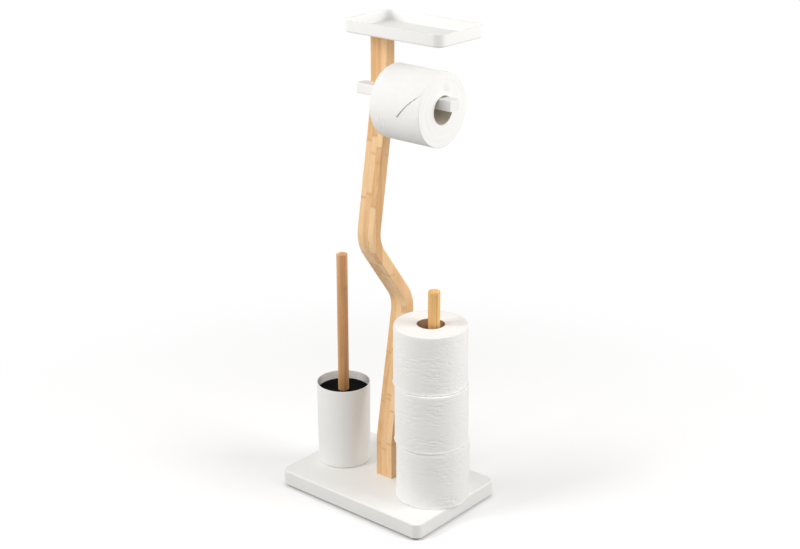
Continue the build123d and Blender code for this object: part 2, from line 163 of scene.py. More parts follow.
def addBump(tree, height, strength, distance):
    inputs = {"Height": height, "Strength": strength, "Distance": distance}
    return addNode(tree, "ShaderNodeBump", inputs).outputs["Normal"]


# Surface grain, shared by paint, plastic, rubber and steel
def makeSurfaceGrain():
    wanted = {"Vector": None, "Mottle Scale": 20.0, "Grain Scale": 900.0, "Low": 0.4, "High": 0.6}
    given = {"Mottle": "Float", "Roughness": "Float", "Height": "Float"}
    tree, has, gives = newGroup("surfaceGrain", wanted, given)
    mottle = addNoise(tree, has["Vector"], has["Mottle Scale"], 4.0, 0.6)
    grain = addNoise(tree, has["Vector"], has["Grain Scale"], 2.0, 0.5)
    tree.links.new(mapRange(tree, mottle, 0.3, 0.7, 0.0, 1.0), gives["Mottle"])
    tree.links.new(mapRange(tree, mottle, 0.3, 0.7, has["Low"], has["High"]), gives["Roughness"])
    tree.links.new(grain, gives["Height"])
    return tree


surfaceGrain = makeSurfaceGrain()


def grainedFinish(name, look):
    material, tree, shader, place = newMaterial(name)
    grain = placeGroup(tree, surfaceGrain, {
        "Vector": place, "Mottle Scale": look["mottle"], "Grain Scale": look["grain"],
        "Low": look["rough"][0], "High": look["rough"][1],
    })
    shade = mixColour(tree, grain["Mottle"], colour(*look["tones"][0]), colour(*look["tones"][1]))
    normal = addBump(tree, grain["Height"], look["bump"], look["depth"])
    feed(tree, shader, Base_Color=shade, Roughness=grain["Roughness"], Normal=normal)
    feed(tree, shader, Metallic=look.get("metal", 0.0), Specular_IOR_Level=look.get("gloss", 0.5))
    return material


finishLooks = {
    "paintedSteel": {
        "tones": [(0.865, 0.862, 0.845), (0.895, 0.892, 0.878)], "rough": (0.42, 0.55),
        "mottle": 9.0, "grain": 1500.0, "bump": 0.10, "depth": 0.0004,
    },
    "whitePlastic": {
        "tones": [(0.84, 0.835, 0.815), (0.87, 0.865, 0.85)], "rough": (0.38, 0.48),
        "mottle": 30.0, "grain": 2200.0, "bump": 0.06, "depth": 0.0003,
    },
    "blackPlastic": {
        "tones": [(0.002, 0.002, 0.0022), (0.0045, 0.0045, 0.0045)], "rough": (0.55, 0.7),
        "mottle": 40.0, "grain": 1800.0, "bump": 0.12, "depth": 0.0003, "gloss": 0.02,
    },
    "blackRubber": {
        "tones": [(0.016, 0.016, 0.016), (0.028, 0.028, 0.027)], "rough": (0.7, 0.85),
        "mottle": 60.0, "grain": 2600.0, "bump": 0.25, "depth": 0.0003, "gloss": 0.3,
    },
    "darkSteel": {
        "tones": [(0.10, 0.10, 0.105), (0.17, 0.17, 0.172)], "rough": (0.4, 0.62),
        "mottle": 25.0, "grain": 1200.0, "bump": 0.1, "depth": 0.0003, "metal": 1.0,
    },
    "zincSteel": {
        "tones": [(0.56, 0.57, 0.58), (0.68, 0.68, 0.66)], "rough": (0.24, 0.42),
        "mottle": 90.0, "grain": 3000.0, "bump": 0.06, "depth": 0.0002, "metal": 1.0,
    },
    "insertBrass": {
        "tones": [(0.66, 0.47, 0.19), (0.76, 0.57, 0.27)], "rough": (0.26, 0.4),
        "mottle": 90.0, "grain": 3000.0, "bump": 0.06, "depth": 0.0002, "metal": 1.0,
    },
}
finishes = {name: grainedFinish(name, look) for name, look in finishLooks.items()}
print("plain finishes made")


# Bamboo, sawn from a block of upright strips glued side by side
bambooDetail = {
    "driftScale": (14, 14, 3.5),
    "drift": (0.002, 0.004, 0.0),  # metres by which the glue lines wander
    "strip": 0.6,  # weights of a strip's own tone and of its broad and fine fibres
    "broad": 0.6,
    "fine": 0.22,
    "range": (0.45, 1.15),  # their sum runs from the pale tone to the deep one
    "flecks": 0.45,
    "knuckleRate": 3.4,  # knuckles of the cane per metre
    "knuckles": 0.42,
    "plyGlue": (0.008, 0.03),  # half widths, as shares of a ply or a strip
    "stripGlue": (0.01, 0.034),
    "glue": 0.5,
}


def makeBambooGrain():
    look = bambooDetail
    wanted = {
        "Vector": None, "Ply Depth": 0.0107, "Strip Width": 0.0145, "Lean": 0.0, "Seed": 0.0,
        "Pale": colour(0.86, 0.58, 0.32), "Middle": colour(0.74, 0.44, 0.20),
        "Deep": colour(0.56, 0.29, 0.11),
    }
    given = {"Color": "Color", "Roughness": "Float", "Height": "Float"}
    tree, has, gives = newGroup("bambooGrain", wanted, given)
    waves = {"Vector": stretched(tree, has["Vector"], look["driftScale"]), "Scale": 1.0, "Detail": 1.0}
    drift = addNode(tree, "ShaderNodeTexNoise", waves).outputs["Color"]
    drift = vectorMath(tree, "SUBTRACT", drift, (0.5, 0.5, 0.5))
    moved = vectorMath(tree, "ADD", has["Vector"], vectorMath(tree, "MULTIPLY", drift, look["drift"]))
    parts = addNode(tree, "ShaderNodeSeparateXYZ", {"Vector": moved}).outputs
    leaning = doMath(tree, "MULTIPLY_ADD", parts["Y"], has["Lean"], parts["X"])
    ply = doMath(tree, "ADD", doMath(tree, "DIVIDE", leaning, has["Ply Depth"]), 0.5)
    plyIndex = doMath(tree, "FLOOR", ply)
    plyEdge = doMath(tree, "PINGPONG", ply, 0.5)
    key = doMath(tree, "ADD", plyIndex, has["Seed"])
    shift = addNode(tree, "ShaderNodeTexWhiteNoise", {"W": key}, noise_dimensions="1D").outputs["Value"]
    strip = doMath(tree, "ADD", doMath(tree, "DIVIDE", parts["Y"], has["Strip Width"]), shift)
    stripIndex = doMath(tree, "FLOOR", strip)
    stripEdge = doMath(tree, "PINGPONG", strip, 0.5)
    pair = addNode(tree, "ShaderNodeCombineXYZ", {"X": plyIndex, "Y": stripIndex, "Z": has["Seed"]})
    chance = addNode(tree, "ShaderNodeTexWhiteNoise", {"Vector": pair.outputs[0]}, noise_dimensions="3D")
    tone = chance.outputs["Value"]
    # long fibres, with a different run in every strip
    own = vectorMath(tree, "ADD", moved, stretched(tree, chance.outputs["Color"], (3.0, 3.0, 3.0)))
    broad = addNoise(tree, stretched(tree, own, (260, 260, 9)), 1.0, 3.0, 0.55)
    fine = addNoise(tree, stretched(tree, own, (1500, 1500, 22)), 1.0, 3.0, 0.6)
    fleck = addNoise(tree, stretched(tree, own, (900, 900, 70)), 1.0, 1.0, 0.4)
    blend = doMath(tree, "MULTIPLY", tone, look["strip"])
    blend = doMath(tree, "ADD", blend, doMath(tree, "MULTIPLY", broad, look["broad"]))
    blend = doMath(tree, "ADD", blend, doMath(tree, "MULTIPLY", fine, look["fine"]))
    blend = mapRange(tree, blend, *look["range"], 0.0, 1.0)
    lower = mixColour(tree, mapRange(tree, blend, 0.0, 0.5, 0.0, 1.0), has["Pale"], has["Middle"])
    shade = mixColour(tree, mapRange(tree, blend, 0.5, 1.0, 0.0, 1.0), lower, has["Deep"])
    flecks = mapRange(tree, fleck, 0.68, 0.76, 0.0, look["flecks"], smooth=True)
    shade = mixColour(tree, flecks, shade, has["Deep"], "MULTIPLY")
    # knuckles of the cane, one every 0.3 m or so along each strip
    along = doMath(tree, "MULTIPLY_ADD", parts["Z"], look["knuckleRate"], doMath(tree, "MULTIPLY", tone, 7.0))
    knuckle = doMath(tree, "PINGPONG", along, 0.5)
    band = mapRange(tree, knuckle, 0.003, 0.012, 1.0, 0.0, smooth=True)
    shade = mixColour(tree, doMath(tree, "MULTIPLY", band, look["knuckles"]), shade, has["Deep"])
    gluePly = mapRange(tree, plyEdge, *look["plyGlue"], 1.0, 0.0, smooth=True)
    glueStrip = mapRange(tree, stripEdge, *look["stripGlue"], 1.0, 0.0, smooth=True)
    glue = doMath(tree, "MAXIMUM", gluePly, glueStrip)
    shade = mixColour(tree, doMath(tree, "MULTIPLY", glue, look["glue"]), shade, has["Deep"])
    height = doMath(tree, "SUBTRACT", fine, doMath(tree, "MULTIPLY", glue, 0.6))
    height = doMath(tree, "ADD", height, doMath(tree, "MULTIPLY", band, 0.5))
    tree.links.new(shade, gives["Color"])
    tree.links.new(mapRange(tree, broad, 0.3, 0.7, 0.36, 0.52), gives["Roughness"])
    tree.links.new(height, gives["Height"])
    return tree


bambooGrain = makeBambooGrain()
bambooLooks = {
    "bambooUpright": {
        "ply": 0.01067, "width": 0.0145, "lean": 0.0, "seed": 3.0, "centre": (-0.004, 0.0),
        "tones": [(0.88, 0.60, 0.33), (0.80, 0.49, 0.235), (0.60, 0.31, 0.115)],
    },
    "bambooRod": {
        "ply": 0.0085, "width": 0.03, "lean": 0.9, "seed": 11.0, "centre": (0.091, 0.0),
        "tones": [(0.86, 0.52, 0.20), (0.74, 0.41, 0.13), (0.50, 0.25, 0.07)],
    },
    "bambooHandle": {
        "ply": 0.009, "width": 0.03, "lean": 0.45, "seed": 53.0, "centre": (-0.099, 0.0),
        "tones": [(0.93, 0.65, 0.36), (0.64, 0.34, 0.14), (0.42, 0.19, 0.07)],
    },
}


def bambooFinish(name, look):
    material, tree, shader, place = newMaterial(name)
    centre = (-look["centre"][0], -look["centre"][1], 0.0)
    centred = addNode(tree, "ShaderNodeMapping", {"Vector": place, "Location": centre}).outputs[0]
    grain = placeGroup(tree, bambooGrain, {
        "Vector": centred, "Ply Depth": look["ply"], "Strip Width": look["width"], "Lean": look["lean"],
        "Seed": look["seed"], "Pale": colour(*look["tones"][0]), "Middle": colour(*look["tones"][1]),
        "Deep": colour(*look["tones"][2]),
    })
    normal = addBump(tree, grain["Height"], 0.12, 0.0004)
    feed(tree, shader, Base_Color=grain["Color"], Roughness=grain["Roughness"], Normal=normal)
    feed(tree, shader, Coat_Weight=0.12, Coat_Roughness=0.3)
    return material


for name, look in bambooLooks.items():
    finishes[name] = bambooFinish(name, look)
print("bamboo made")


# Wound layers, seen on the ends of the paper and of the cardboard
def makeWoundLayers():
    wanted = {"Radius": 0.03, "Pitch": 0.0009, "End": 1.0}
    given = {"Line": "Float", "Height": "Float"}
    tree, has, gives = newGroup("woundLayers", wanted, given)
    turns = doMath(tree, "DIVIDE", has["Radius"], has["Pitch"])
    fine = addNoise(tree, turns, 1.0, 2.0, 0.6, "1D")
    broad = addNoise(tree, doMath(tree, "MULTIPLY", turns, 0.17), 1.0, 1.0, 0.5, "1D")
    line = mapRange(tree, fine, 0.42, 0.62, 0.0, 1.0)
    line = doMath(tree, "MULTIPLY", line, has["End"])
    height = doMath(tree, "MULTIPLY", doMath(tree, "ADD", fine, broad), has["End"])
    tree.links.new(line, gives["Line"])
    tree.links.new(height, gives["Height"])
    return tree


woundLayers = makeWoundLayers()


def attribute(tree, name):
    return addNode(tree, "ShaderNodeAttribute", attribute_name=name, attribute_type="GEOMETRY").outputs["Fac"]


def paperFinish():
    material, tree, shader, place = newMaterial("rollPaper")
    end = attribute(tree, "endFace")
    layers = placeGroup(tree, woundLayers, {"Radius": attribute(tree, "radius"), "Pitch": 0.0008, "End": end})
    cloud = addNoise(tree, place, 30.0, 3.0, 0.6)
    shade = mixColour(tree, cloud, colour(0.915, 0.905, 0.885), colour(0.945, 0.94, 0.925))
    shade = mixColour(tree, doMath(tree, "MULTIPLY", layers["Line"], 0.22), shade, colour(0.83, 0.80, 0.76))
    dots = addNode(tree, "ShaderNodeTexVoronoi", {"Vector": place, "Scale": 720.0}).outputs["Distance"]
    fibre = addNoise(tree, place, 2600.0, 3.0, 0.6)
    wall = doMath(tree, "SUBTRACT", 1.0, end)
    pressed = doMath(tree, "MULTIPLY", mapRange(tree, dots, 0.15, 0.55, 0.0, 1.0, smooth=True), wall)
    height = doMath(tree, "ADD", pressed, doMath(tree, "MULTIPLY", fibre, 0.5))
    height = doMath(tree, "ADD", height, doMath(tree, "MULTIPLY", layers["Height"], 1.1))
    rough = mapRange(tree, fibre, 0.3, 0.7, 0.85, 1.0)
    feed(tree, shader, Base_Color=shade, Roughness=rough, Normal=addBump(tree, height, 0.35, 0.0003))
    feed(tree, shader, Specular_IOR_Level=0.2, Sheen_Weight=0.12, Sheen_Roughness=0.5)
    return material


cardLooks = {
    "spareCard": {"tones": [(0.34, 0.21, 0.13), (0.47, 0.31, 0.20)], "cloud": (0.31, 0.19, 0.12)},
    "hangingCard": {"tones": [(0.62, 0.56, 0.47), (0.78, 0.72, 0.62)], "cloud": (0.58, 0.52, 0.43)},
}


def cardFinish(name, look):
    material, tree, shader, place = newMaterial(name)
    end = attribute(tree, "endFace")
    seam = attribute(tree, "seam")
    wound = {"Radius": attribute(tree, "radius"), "Pitch": 0.00012, "End": end}
    layers = placeGroup(tree, woundLayers, wound)
    fibre = addNoise(tree, stretched(tree, place, (700, 700, 900)), 1.0, 4.0, 0.65)
    cloud = addNoise(tree, place, 60.0, 3.0, 0.6)
    shade = mixColour(tree, fibre, colour(*look["tones"][0]), colour(*look["tones"][1]))
    shade = mixColour(tree, doMath(tree, "MULTIPLY", cloud, 0.35), shade, colour(*look["cloud"]))
    shade = mixColour(tree, doMath(tree, "MULTIPLY", seam, 0.55), shade, colour(0.22, 0.16, 0.11))
    shade = mixColour(tree, doMath(tree, "MULTIPLY", layers["Line"], 0.4), shade, colour(0.25, 0.2, 0.15))
    height = doMath(tree, "SUBTRACT", fibre, doMath(tree, "MULTIPLY", seam, 1.5))
    feed(tree, shader, Base_Color=shade, Roughness=mapRange(tree, fibre, 0.3, 0.7, 0.8, 0.95),
         Normal=addBump(tree, height, 0.3, 0.0003))
    feed(tree, shader, Specular_IOR_Level=0.25)
    return material


finishes["rollPaper"] = paperFinish()
for name, look in cardLooks.items():
    finishes[name] = cardFinish(name, look)


def boardFinish():
    material, tree, shader, place = newMaterial("boardWood")
    chips = addNode(tree, "ShaderNodeTexVoronoi", {"Vector": stretched(tree, place, (260, 420, 900)),
                                                    "Scale": 1.0}).outputs["Color"]
    fibre = addNoise(tree, stretched(tree, place, (300, 900, 1400)), 1.0, 4.0, 0.65)
    shade = mixColour(tree, fibre, colour(0.36, 0.25, 0.15), colour(0.52, 0.39, 0.25))
    shade = mixColour(tree, 0.16, shade, chips, "OVERLAY")
    feed(tree, shader, Base_Color=shade, Roughness=mapRange(tree, fibre, 0.3, 0.7, 0.75, 0.92),
         Normal=addBump(tree, fibre, 0.3, 0.0004))
    return material


def bristleFinish():
    material, tree, shader, place = newMaterial("bristleFibre")
    streak = addNoise(tree, place, 900.0, 2.0, 0.5)
    reach = attribute(tree, "reach")
    shade = mixColour(tree, streak, colour(0.80, 0.80, 0.785), colour(0.90, 0.90, 0.89))
    # painted light: each bristle is mixed toward a paler colour along its length, so the roots read darker as
    # painted shade deep in the tuft and the tips lighter as a painted highlight
    shade = mixColour(tree, doMath(tree, "MULTIPLY", reach, 0.5), shade, colour(0.93, 0.93, 0.92))
    feed(tree, shader, Base_Color=shade, Roughness=mapRange(tree, streak, 0.3, 0.7, 0.35, 0.5))
    return material


finishes["boardWood"] = boardFinish()
finishes["bristleFibre"] = bristleFinish()
print("all finishes made")

nodeFinishes = {
    "paintedSteel": ["base_cover", "tray", "holder_arm", "brush_cup"],
    "whitePlastic": ["arm_cap_left", "arm_cap_right"],
    "blackPlastic": ["cup_liner", "splash_disc", "brush_core"],
    "blackRubber": ["foot_front_left", "foot_front_right", "foot_back_left", "foot_back_right"],
    "darkSteel": ["ballast_plate"],
    "zincSteel": ["foot_screws", "base_bolts", "base_washers", "tray_screws", "arm_nut_plate", "arm_bolts",
                  "handle_stud"],
    "insertBrass": ["threaded_inserts"],
    "bambooUpright": ["upright"],
    "bambooRod": ["spare_roll_rod"],
    "bambooHandle": ["brush_handle"],
    "boardWood": ["base_board"],
}
for finishName, nodeNames in nodeFinishes.items():
    for nodeName in nodeNames:
        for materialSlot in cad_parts[nodeName].material_slots:
            materialSlot.material = finishes[finishName]
print("CAD nodes finished")


# Meshes of wound paper and cardboard, turned round an axis
def buildMesh(name, points, faces, finish, values=None):
    mesh = bpy.data.meshes.new(name)
    mesh.from_pydata(points, [], faces)
    mesh.update()
    for label, numbers in (values or {}).items():
        mesh.attributes.new(label, "FLOAT", "POINT").data.foreach_set("value", numbers)
    mesh.polygons.foreach_set("use_smooth", [True] * len(mesh.polygons))
    mesh.materials.append(finishes[finish])
    piece = bpy.data.objects.new(name, mesh)
    bpy.context.scene.collection.objects.link(piece)
    return piece


def ringFaces(rounds, rows):
    faces = []
    for i in range(rounds):
        for j in range(rows):
            a, b = i * rows, ((i + 1) % rounds) * rows
            k = (j + 1) % rows
            faces.append((a + j, a + k, b + k, b + j))
    return faces


def step(low, high, value):
    share = min(max((value - low) / (high - low), 0.0), 1.0)
    return share * share * (3 - 2 * share)


def steps(low, high, count):
    return [low + (high - low) * i / count for i in range(count)]


rollLook = {
    "rounds": 300,  # columns round the roll
    "wallRows": 76,
    "faceRows": 22,
    "edge": 0.0011,
    "wrinkles": 0.00055,
    "wrinkleLength": 0.02,
    "wrinkleHeight": 0.0031,
    "lip": 0.0013,  # outer layers stand proud along the lower end
    "shoulder": 0.0004,  # and are drawn in along the upper one
    "tail": 0.00015,  # thickness of the loose end of the sheet
    "faceWaves": 0.0004,
    "lumpHeight": 0.05,
    "smallLength": 0.006,  # the finest creases
    "smallHeight": 0.0024,
    "patch": 0.035,  # wrinkles come in patches of about this size
    "lipHeight": 0.004,
    "shoulderHeight": 0.005,
    "shortSink": 0.0005,  # where an outer layer stops short of the upper end
    "shortRise": (0.0046, 0.0034),
    "seamHalf": 0.0002,
}


def rollProfile(radius, bore, width, edge):
    look = rollLook
    rows = [(bore, z, 0.0) for z in steps(0.0, width, 3)]
    rows += [(r, width, 1.0) for r in steps(bore, radius - edge, look["faceRows"])]
    rows += [(radius - edge + edge * math.sin(a), width - edge + edge * math.cos(a), math.cos(a) ** 2)
             for a in steps(0.0, math.pi / 2, 4)]
    rows += [(radius, z, 0.0) for z in steps(width - edge, edge, look["wallRows"])]
    rows += [(radius - edge + edge * math.cos(a), edge - edge * math.sin(a), math.sin(a) ** 2)
             for a in steps(0.0, math.pi / 2, 4)]
    rows += [(r, 0.0, 1.0) for r in steps(radius - edge, bore, look["faceRows"])]
    return rows


def windPaper(name, roll):
    look = rollLook
    radius, bore, width, seed = roll["radius"], roll["bore"], roll["width"], roll["seed"]
    profile = rollProfile(radius, bore, width, look["edge"])
    tailAngle = math.radians(roll["tailAngle"])
    angles = [2 * math.pi * i / look["rounds"] for i in range(look["rounds"])]
    near = look["seamHalf"] / radius
    angles = sorted(angles + [(tailAngle - near) % (2 * math.pi), (tailAngle + near) % (2 * math.pi)])
    origin, across, up, axis = roll["frame"]
    points, radii, ends = [], [], []
    shift = Vector((seed * 7.31, seed * 3.17, seed * 5.71))
    for angle in angles:
        direction = across * math.cos(angle) + up * math.sin(angle)
        flat = Vector((math.cos(angle), math.sin(angle), 0))
        pastTail = (angle - tailAngle) % (2 * math.pi)
        tail = look["tail"] * (1 - step(0.0, 1.2, pastTail))
        for r, z, end in profile:
            share = r / radius
            outer = step(0.8, 1.0, share)
            onWall = Vector((flat.x * radius, flat.y * radius, z))
            lump = noise.noise(Vector((flat.x * 1.3, flat.y * 1.3, z / look["lumpHeight"])) + shift)
            fold = noise.noise(Vector((onWall.x / look["wrinkleLength"], onWall.y / look["wrinkleLength"],
                                       z / look["wrinkleHeight"])) + shift)
            small = noise.noise(Vector((onWall.x / look["smallLength"], onWall.y / look["smallLength"],
                                        z / look["smallHeight"])) - shift)
            where = 0.35 + 0.65 * step(-0.15, 0.3, noise.noise(onWall / look["patch"] + shift))
            crease = (max(0.0, 1 - abs(fold) * 5.0) ** 1.5 + 0.4 * small) * where
            push = roll["lumps"] * lump - look["wrinkles"] * crease
            frill = 0.7 + 0.7 * noise.noise(Vector((flat.x * 9, flat.y * 9, z)) + shift)
            push += look["lip"] * step(look["lipHeight"], 0.0, z) * frill * roll["soft"]
            push -= look["shoulder"] * step(width - look["shoulderHeight"], width, z) * frill * roll["soft"]
            short = step(0.85, 0.65, abs((angle - roll["shortAt"] + math.pi) % (2 * math.pi) - math.pi))
            low, high = look["shortRise"]
            push -= look["shortSink"] * short * step(width - low, width - high, z) * roll["soft"]
            push = (push + tail) * outer * (1.0 if r > bore * 1.2 else 0.0)
            sink = 0.0
            if end > 0.0 and r > bore * 1.01:
                wave = noise.noise(Vector((flat.x * 1.2, flat.y * 1.2, r / 0.006)) + shift)
                sink = look["faceWaves"] * (0.6 + 0.8 * wave) * end
                for dent in roll["dents"]:
                    if (z > width / 2) == (dent["side"] > 0):
                        turn = (angle - math.radians(dent["angle"]) + math.pi) % (2 * math.pi) - math.pi
                        off = math.hypot(turn * r / dent["wide"], (r - dent["at"]) / dent["long"])
                        sink += dent["deep"] * (1 - step(0.0, 1.0, off)) * end
            height = z + (sink if z < width / 2 else -sink)
            points.append(origin + direction * (r + push) + axis * height)
            radii.append(r)
            ends.append(end)
    faces = ringFaces(len(angles), len(profile))
    if roll["pointed"]:
        addPointedEnd(points, faces, roll)
        radii += [radius] * (len(points) - len(radii))
        ends += [0.0] * (len(points) - len(ends))
    return buildMesh(name, points, faces, "rollPaper", {"radius": radii, "endFace": ends})


# The free end of the hanging sheet, its corners folded under into a point
pointedLook = {
    "tip": 187.0,  # degrees round the roll from its back
    "aside": 0.11,  # the point lies this share of half the width to the right
    "reach": 0.05,  # the fold dies out this far up the roll
    "lift": 0.0007,
    "tipLift": 0.0009,  # added at the point
    "sheet": 0.00035,
    "columns": 48,
    "rows": 16,
}


def addPointedEnd(points, faces, roll):
    look = pointedLook
    origin, across, up, axis = roll["frame"]
    half = roll["width"] / 2 - rollLook["edge"]
    columns, rows = look["columns"], look["rows"]
    first = len(points)
    for side in (0, 1):
        for i in range(columns + 1):
            along = 2 * i / columns - 1
            bow = abs(along - look["aside"]) + 0.06 * math.sin(math.pi * abs(along))
            for j in range(rows + 1):
                back = (j / rows) ** 1.5
                angle = math.radians(look["tip"]) - (half * bow + look["reach"] * back) / roll["radius"]
                sides = step(0.7, 1.0, abs(along))  # both side edges sink into the roll
                lift = look["lift"] * (1 - sides) - 0.0003 * sides
                lift += look["tipLift"] * (1 - abs(along)) ** 2
                height = (lift + 0.0003) * (1 - step(0.0, 1.0, back)) - 0.0006 - side * look["sheet"]
                height += 0.0006 * (1 - step(0.3, 1.0, back))
                direction = across * math.cos(angle) + up * math.sin(angle)
                place = axis * (roll["width"] / 2 + along * half)
                points.append(origin + direction * (roll["radius"] + height) + place)
    size = rows + 1
    layer = (columns + 1) * size
    for i in range(columns):
        for j in range(rows):
            a = first + i * size + j
            b = a + size
            faces.append((a, b, b + 1, a + 1))
            faces.append((a + layer, a + layer + 1, b + layer + 1, b + layer))
    rim = [i * size for i in range(columns + 1)]
    rim += [columns * size + j for j in range(1, size)]
    rim += [i * size + rows for i in range(columns - 1, -1, -1)]
    rim += [j for j in range(rows - 1, 0, -1)]
    for here, there in zip(rim, rim[1:] + rim[:1]):
        a, b = first + here, first + there
        faces.append((a, a + layer, b + layer, b))


xAxis, yAxis, zAxis = Vector((1, 0, 0)), Vector((0, 1, 0)), Vector((0, 0, 1))
paperDents = {
    "top": [{"side": 1, "angle": 43.0, "wide": 0.006, "at": 0.042, "long": 0.02, "deep": 0.0011}],
    "middle": [],
    "bottom": [],
    "hanging": [{"side": 1, "angle": 84.0, "wide": 0.013, "at": 0.027, "long": 0.013, "deep": 0.0024}],
}
tailAngles = {"top": 140.0, "middle": 150.0, "bottom": 200.0, "hanging": 250.0}


def rollFrame(nodeName, lying):
    low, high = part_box(nodeName)
    middle = (low + high) / 2
    if lying:
        return Vector((low.x, middle.y, middle.z)), yAxis, zAxis, xAxis
    return Vector((middle.x, middle.y, low.z)), xAxis, yAxis, zAxis


coreLook = {
    "wall": 0.0008,
    "rounds": 120,
    "rows": 60,
    "lapPitch": 0.11,  # the strips wind once round in this length
    "seamWidth": 0.045,
    "lap": 0.00018,
    "wave": 0.00012,
}


def makeCore(name, nodeName, lying, seed):
    look = coreLook
    low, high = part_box(nodeName)
    origin, across, up, axis = rollFrame(nodeName, lying)
    width = (high.x - low.x) if lying else (high.z - low.z)
    outer = (high.y - low.y) / 2
    bore = outer - look["wall"]
    lean = 2 * math.pi / look["lapPitch"]
    rows, rounds = look["rows"], look["rounds"]
    profile = [(bore, z, 0.0) for z in steps(0.0, width, rows)] + [(bore, width, 1.0)]
    profile += [(outer, z, 1.0 if z == width else 0.0) for z in steps(width, 0.0, rows)] + [(outer, 0.0, 1.0)]
    points, radii, ends, seams = [], [], [], []
    for i in range(rounds):
        angle = 2 * math.pi * i / rounds
        direction = across * math.cos(angle) + up * math.sin(angle)
        for r, z, end in profile:
            turn = (angle - lean * z + seed) % (2 * math.pi) - math.pi
            seam = math.exp(-(turn / look["seamWidth"]) ** 2)
            lap = look["lap"] * (1 - step(0.0, 0.9, turn)) * step(-0.04, 0.0, turn)
            spot = Vector((math.cos(angle) * 2, math.sin(angle) * 2, z / 0.03 + seed))
            wave = look["wave"] * noise.noise(spot)
            inward = (lap + wave) if r < outer - look["wall"] / 2 else 0.0
            points.append(origin + direction * (r + inward) + axis * z)
            radii.append(r)
            ends.append(end)
            seams.append(seam * (1 - end))
    return buildMesh(name, points, ringFaces(rounds, len(profile)), "hangingCard" if lying else "spareCard",
                     {"radius": radii, "endFace": ends, "seam": seams})


for index, which in enumerate(["bottom", "middle", "top", "hanging"]):
    lying = which == "hanging"
    paperNode = "hanging_roll_paper" if lying else "spare_roll_paper_" + which
    coreNode = "hanging_roll_core" if lying else "spare_roll_core_" + which
    body = "hanging_roll" if lying else "spare_roll_" + which
    low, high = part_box(paperNode)
    roll = {
        "frame": rollFrame(paperNode, lying),
        "radius": (high.y - low.y) / 2 - 0.0008,
        "bore": (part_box(coreNode)[1].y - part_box(coreNode)[0].y) / 2,
        "width": (high.x - low.x) if lying else (high.z - low.z),
        "seed": index + 1.0,
        "pointed": lying,
        "tailAngle": tailAngles[which],
        "lumps": 0.00025 if lying else 0.0005,
        "soft": 0.3 if lying else 1.0,
        "shortAt": math.radians(-75.0 + 140.0 * index),  # an outer layer stops short of the end here
        "dents": paperDents[which],
    }
    paper = windPaper(body + "_winding", roll)
    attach(paper, body)
    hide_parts(paperNode)
    core = makeCore(body + "_tube", coreNode, lying, index * 1.7)
    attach(core, body)
    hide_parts(coreNode)
print("rolls wound")


# Bristles: tufts planted in rows on the head's barrel and round its lower end
brushLook = {
    "barrel": 0.0128,
    "rows": 12,
    "perRow": 20,
    "endRings": [(0.0118, 0.9, 18), (0.0085, 0.38, 12), (0.0045, 0.14, 7), (0.0, 0.0, 1)],
    "perTuft": 9,
    "tuftRadius": 0.0011,
    "bristleRadius": 0.00017,
    "spread": 0.10,
    "bend": 0.05,
    "lowRoot": 0.004,  # lowest row above the barrel's end, then the rows' whole margin
    "rootMargin": 0.006,
    "highTrim": 0.10,
    "lowTrim": 0.06,
}


def plantTufts(look):
    low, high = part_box("bristles")
    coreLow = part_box("brush_core")[0]
    centre = (low + high) / 2
    outer = (high.x - low.x) / 2
    spots, aims, reaches = [], [], []
    for row in range(look["rows"]):
        share = (row + 0.5) / look["rows"]
        height = coreLow.z + look["lowRoot"] + (high.z - coreLow.z - look["rootMargin"]) * share
        trim = 1 - look["highTrim"] * share ** 6 - look["lowTrim"] * (1 - share) ** 4
        for place in range(look["perRow"]):
            turn = 2 * math.pi * (place + 0.5 * (row % 2)) / look["perRow"]
            aim = Vector((math.cos(turn), math.sin(turn), 0.0))
            spots.append(Vector((centre.x, centre.y, height)) + aim * look["barrel"])
            aims.append(aim)
            reaches.append(outer * trim - look["barrel"] - 0.0008)
    for ring, outward, count in look["endRings"]:
        for place in range(count):
            turn = 2 * math.pi * place / count
            flat = Vector((math.cos(turn), math.sin(turn), 0.0))
            aim = (flat * outward - zAxis).normalized()
            drop = 0.0035 * (ring / look["barrel"]) ** 2
            start = Vector((centre.x, centre.y, coreLow.z + 0.0005 + drop)) + flat * ring
            spots.append(start)
            aims.append(aim)
            reaches.append((start.z - low.z - 0.0006) / max(-aim.z, 0.4) * (1 - 0.18 * outward))
    mesh = bpy.data.meshes.new("bristle_tufts")
    mesh.from_pydata(spots, [], [])
    flatAims = [value for aim in aims for value in aim]
    mesh.attributes.new("aim", "FLOAT_VECTOR", "POINT").data.foreach_set("vector", flatAims)
    mesh.attributes.new("length", "FLOAT", "POINT").data.foreach_set("value", reaches)
    piece = bpy.data.objects.new("bristle_tufts", mesh)
    bpy.context.scene.collection.objects.link(piece)
    return piece


def newGeometryTree(name, sizes):
    tree = bpy.data.node_groups.new(name, "GeometryNodeTree")
    tree.interface.new_socket("Geometry", in_out="INPUT", socket_type="NodeSocketGeometry")
    for label, value in sizes.items():
        kind = {int: "NodeSocketInt", float: "NodeSocketFloat"}.get(type(value), "NodeSocketMaterial")
        tree.interface.new_socket(label, in_out="INPUT", socket_type=kind)
    tree.interface.new_socket("Geometry", in_out="OUTPUT", socket_type="NodeSocketGeometry")
    return tree, tree.nodes.new("NodeGroupInput").outputs, tree.nodes.new("NodeGroupOutput").inputs


